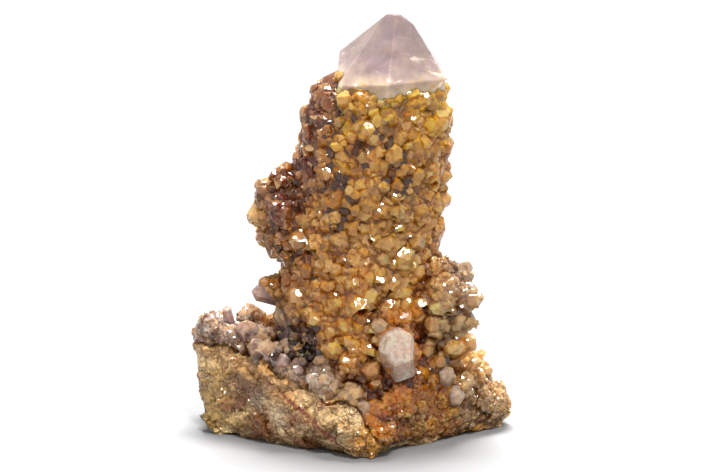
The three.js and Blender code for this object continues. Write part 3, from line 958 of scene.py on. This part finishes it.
def druse_quartz():
    material, tree, shader = new_material("druse_quartz")
    tint = attribute(tree, "tint")
    growth = attribute(tree, "growth")
    stain = attribute(tree, "stain", "Color")
    colour = mixed(tree, mapped(tree, tint, 0.5, 1.0, 0.0, 0.5), stain, srgb(236, 188, 128))
    rich = multiplied(tree, colour, (0.72, 0.54, 0.36))
    colour = mixed(tree, mapped(tree, tint, 0.45, 0.0, 0.0, 0.8), colour, rich)
    # Painted light and shade: each face brighter or darker by its own number
    colour = shaded(tree, colour, mapped(tree, attribute(tree, "facet_light_and_shade"), 0.0, 0.8, 0.7, 1.14))
    cloud = mapped(tree, clouds(tree, 1300, 4, 0.65), 0.3, 0.7, 0.72, 1.25)
    colour = shaded(tree, colour, cloud)
    colour = speckled(tree, colour, 0.8, 1.18, 0.8 * MM)
    # Darker towards the gaps between crystals, darkest deep in them: part iron stain, part painted
    # shade
    gap_stain_and_shade = multiplied(tree, colour, (0.62, 0.42, 0.24))
    colour = mixed(tree, mapped(tree, growth, 0.6, -0.4, 0.0, 1.0), colour, gap_stain_and_shade)
    deepest_gap_stain_and_shade = multiplied(tree, colour, (0.32, 0.22, 0.18))
    colour = mixed(tree, mapped(tree, growth, 0.0, -1.0, 0.0, 1.0), colour, deepest_gap_stain_and_shade)
    colour = mixed(tree, mapped(tree, growth, 0.6, 1.8, 0.0, 0.2), colour, srgb(242, 208, 150))
    # Painted sheen: the brightest faces turn pale cream
    painted_facet_sheen = mapped(tree, attribute(tree, "facet_light_and_shade"), 0.82, 1.0, 0.0, 0.5)
    colour = mixed(tree, painted_facet_sheen, colour, srgb(250, 216, 156))
    # Dark brown spots: iron oxide, and painted shade in the deep gap by the rim
    speck = worked(tree, "SUBTRACT", clouds(tree, 1000, 3), 0.5)
    spot = worked(tree, "ADD", attribute(tree, "iron_and_shade"), worked(tree, "MULTIPLY", speck, 2.4))
    spot = worked(tree, "SUBTRACT", spot, mapped(tree, growth, 0.1, 1.2, 0.0, 0.2))
    spot = mapped(tree, spot, 1.1, 1.16, 0.0, 0.95)
    spot = worked(tree, "MAXIMUM", spot, worked(tree, "MULTIPLY", attribute(tree, "rust_and_shade"), 0.9))
    colour = mixed(tree, spot, colour, srgb(56, 28, 16))
    tree.links.new(colour, shader.inputs["Base Color"])
    shader.inputs["Roughness"].default_value = 0.08
    shader.inputs["IOR"].default_value = QUARTZ_IOR
    shader.inputs["Transmission Weight"].default_value = 0.64
    shader.inputs["Subsurface Weight"].default_value = 1
    shader.inputs["Subsurface Radius"].default_value = (1.0, 0.72, 0.38)
    shader.inputs["Subsurface Scale"].default_value = 2.6 * MM
    tip = mapped(tree, attribute(tree, "sugar"), 0.2, 0.8, 0.22, 0.9)
    sparkling(tree, shader, 0.8 * MM, tip)
    absorb(tree, srgb(250, 220, 150), 28)
    return material


crust.data.materials.clear()
crust.data.materials.append(druse_quartz())
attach(crust, "root")
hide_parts("spirit_quartz_cluster")


# The block at the foot: broken vein quartz, granular and stained, with a cream band and a thin
# red-brown line across its front. It shows where the block broke, and it is hidden under the coat.
BLOCK_TOP = 29 * MM
GRAIN = 0.45 * MM


# A broken surface: each cell is a small flat that tips its own way
def flats(place, cell, tip):
    _, points = noise.voronoi(place / cell)
    middle = points[0]
    tilt = noise.cell_vector(middle * 7.3) - Vector((0.5, 0.5, 0.5))
    offset = (place / cell - middle).dot(tilt) + 0.5 * tilt.x
    return offset * tip


# Flats of two sizes, each with its cell and its height in millimetres
FLATS = [(6.5 * MM, 1.6), (2.4 * MM, 0.7)]
ROUGH = 0.15
SET_BACK = 0.2
UNDER_COAT = 1.6  # how far the block stays under the crystals, in millimetres
INSIDE = 0.02 * MM  # how far it stays inside the specimen's box

block = solid_copy("broken_matrix")
top = {"plane_co": (0, 0, BLOCK_TOP), "plane_no": (0, 0, 1)}
edit(block, lambda: bpy.ops.mesh.bisect(use_fill=True, clear_outer=True, **top))
soften(block, GRAIN, 3)
normals = [v.normal.copy() for v in block.data.vertices]
for vertex, normal in zip(block.data.vertices, normals):
    place = vertex.co.copy()
    share = broken_share(place, normal)
    relief = sum(flats(place, cell, tip) for cell, tip in FLATS)
    relief += ROUGH * noise.noise(place / MM)
    shown = min(1.0, max(0.0, 2 * share - 0.9))
    vertex.co += normal * MM * (shown * (relief - SET_BACK) - (1 - shown) * UNDER_COAT)
    vertex.co.z = max(vertex.co.z, 0)
    vertex.co = undercut(vertex.co)
    vertex.co.x = min(HIGH_X - INSIDE, max(LOW_X + INSIDE, vertex.co.x))
    vertex.co.y = min(HIGH_Y - INSIDE, max(LOW_Y + INSIDE, vertex.co.y))

# The thin red-brown line, and the cream band above it, across the broken front
SEAM = [
    (-26, -5, 18.5), (-17.6, -10.3, 13.5), (-13.8, -12.4, 10.9), (-11.5, -13.5, 9.2),
    (-8, -16.8, 7.2), (-4.9, -17.3, 3.9), (-1.1, -19.7, 1.6),
]
BAND = [
    (-31, 0, 17.5), (-23.7, -5.7, 16.3), (-19.1, -8.1, 14.2), (-13.2, -11.1, 12.4),
    (-9, -14.3, 11.2), (-1.8, -20.8, 7.8),
]
ALONG_BAND = Vector((0.75, -0.45, -0.48))  # the way the broken quartz is streaked


# The distance from a line, in which the depth counts for little
def away_from(places, line):
    nearest = np.full(len(places), 1e3)
    for start, end in zip(line, line[1:]):
        start = np.array(start)
        run = np.array(end) - start
        along = np.clip((places - start) @ run / (run @ run), 0, 1)[:, None]
        away = (places - start - along * run) * (1, 0.1, 1)
        nearest = np.minimum(nearest, np.linalg.norm(away, axis=1))
    return nearest


# The stains of the broken faces: centre, reach and colour
ROCK_STAINS = [
    ((-27, -2.4, 17.5), 6, srgb(196, 168, 116)),
    ((-15, -11, 13.6), 6, srgb(204, 164, 108)),
    ((-7, -18, 11), 5, srgb(200, 160, 100)),
    ((-19.6, -9, 10.2), 2.6, srgb(168, 164, 156)),
    ((-15.8, -11.4, 7.4), 2.8, srgb(186, 182, 172)),
    ((-24.4, -5, 10.4), 2.6, srgb(112, 76, 48)),
    ((-19, -9.6, 4.6), 2.6, srgb(124, 84, 52)),
    ((-12, -13.6, 6.4), 2.2, srgb(128, 84, 56)),
    ((-22, -6, 13), 3.5, srgb(92, 62, 44)),
    ((-28, -2.8, 7.7), 5, srgb(168, 146, 96)),
    ((-9, -16, 4.2), 5, srgb(140, 116, 88)),
    ((-4.9, -16.6, 15), 3, srgb(190, 182, 162)),
    ((-2, -19, 8), 3.5, srgb(190, 184, 160)),
    ((3.4, -21, 3.7), 4, srgb(196, 150, 70)),
    ((20, -6, 1.1), 6, srgb(196, 148, 70)),
    ((-31.7, 0.7, 2.7), 1.6, srgb(40, 28, 20)),
    ((0, 14, 8), 18, srgb(158, 134, 104)),
]
places = np.array([v.co for v in block.data.vertices]) / MM
store_stain(block.data, "POINT", zone_colours(places, ROCK_STAINS))
for name, line in (("seam", SEAM), ("band", BAND)):
    store(block.data, name, "POINT", away_from(places, line))


def vein_quartz():
    material, tree, shader = new_material("vein_quartz")
    colour = attribute(tree, "stain", "Color")
    wander = worked(tree, "MULTIPLY", worked(tree, "SUBTRACT", clouds(tree, 500, 4, 0.7), 0.5), 3.0)
    band = mapped(tree, worked(tree, "ADD", attribute(tree, "band"), wander), 0.8, 2.2, 0.9, 0)
    colour = mixed(tree, band, colour, srgb(226, 192, 146))
    clear = mapped(tree, clouds(tree, 120, 5, 0.6, 0.3, ALONG_BAND), 0.51, 0.6, 0, 0.65)
    colour = mixed(tree, clear, colour, srgb(244, 230, 198))
    rust = mapped(tree, clouds(tree, 210, 6, 0.7, 0.4, ALONG_BAND), 0.55, 0.62, 0, 0.8)
    colour = mixed(tree, rust, colour, srgb(136, 82, 46))
    ridge = worked(tree, "SUBTRACT", clouds(tree, 130, 6, 0.66, 0.5, ALONG_BAND), 0.5)
    vein = mapped(tree, worked(tree, "ABSOLUTE", ridge, 0.0), 0.0, 0.026, 0.75, 0)
    colour = mixed(tree, vein, colour, srgb(86, 52, 34))
    colour = multiplied(tree, colour, (0.72, 0.59, 0.42))
    colour = speckled(tree, colour, 0.86, 1.16, 0.6 * MM, 0.6 * MM)
    fine = mapped(tree, clouds(tree, 1000, 5, 0.75, 0, ALONG_BAND), 0.3, 0.7, 0.66, 1.36)
    colour = shaded(tree, colour, fine)
    edges = grains(tree, 3.4 * MM, 3.0 * MM, "Distance", "DISTANCE_TO_EDGE")
    patches = mapped(tree, clouds(tree, 160, 3), 0.42, 0.6, 0, 0.85)
    crack = worked(tree, "MULTIPLY", mapped(tree, edges, 0.0, 0.05, 1, 0), patches)
    colour = mixed(tree, crack, colour, srgb(74, 42, 28))
    sway = worked(tree, "MULTIPLY", wander, 0.35)
    seam = worked(tree, "ADD", attribute(tree, "seam"), sway)
    seam = mapped(tree, seam, 0.25, 0.65, 0.9, 0)
    colour = mixed(tree, seam, colour, srgb(118, 54, 38))
    tree.links.new(colour, shader.inputs["Base Color"])
    shader.inputs["Roughness"].default_value = 0.16
    shader.inputs["IOR"].default_value = QUARTZ_IOR
    shader.inputs["Subsurface Weight"].default_value = 0.4
    shader.inputs["Subsurface Radius"].default_value = (1.0, 0.7, 0.4)
    shader.inputs["Subsurface Scale"].default_value = 0.6 * MM
    sparkling(tree, shader, 0.45 * MM, 1.0)
    return material


block.data.materials.clear()
block.data.materials.append(vein_quartz())
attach(block, "root")
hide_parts("spirit_quartz_cluster")
